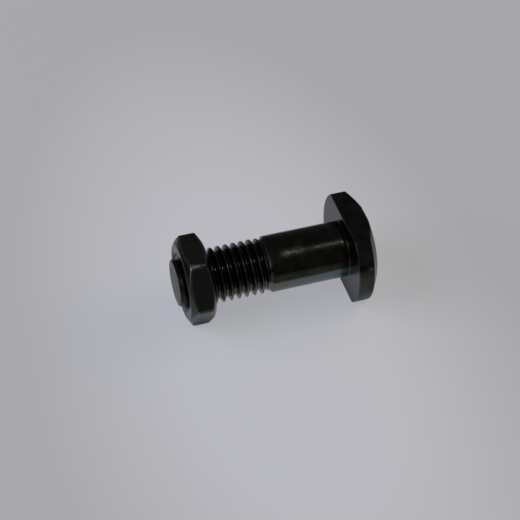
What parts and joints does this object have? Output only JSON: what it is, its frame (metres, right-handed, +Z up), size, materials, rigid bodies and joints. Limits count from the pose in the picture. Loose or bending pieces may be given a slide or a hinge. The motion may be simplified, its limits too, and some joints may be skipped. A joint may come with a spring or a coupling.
{
  "type": "clamping screw",
  "caption": "Round-headed screw with flats on its head, a plain shank, a coarse thread and a thin hexagon nut; clamps pieces between head and nut.",
  "frame": {"origin": "middle of the box's underside: halfway along the screw, below its axis, on the surface it lies on", "axes": "+X along the screw's axis from the tip towards the head, +Y across, +Z up; the flats of head and nut face up and down"},
  "size_m": [0.0618, 0.035, 0.0258],
  "materials": {
    "blackened_steel": "black oxide, oiled, with a soft gloss and light handling scuffs",
    "blackened_nut_steel": "black oxide, oiled, with a soft gloss"
  },
  "bodies": {
    "screw": {"clamping_screw": "blackened_steel"},
    "nut": {"hex_nut": "blackened_nut_steel"}
  },
  "joints": [
    {"name": "nut_travel", "type": "slide", "parent": "screw", "child": "nut", "axis": [1, 0, 0], "range_m": [-0.0125, 0.015]}
  ]
}
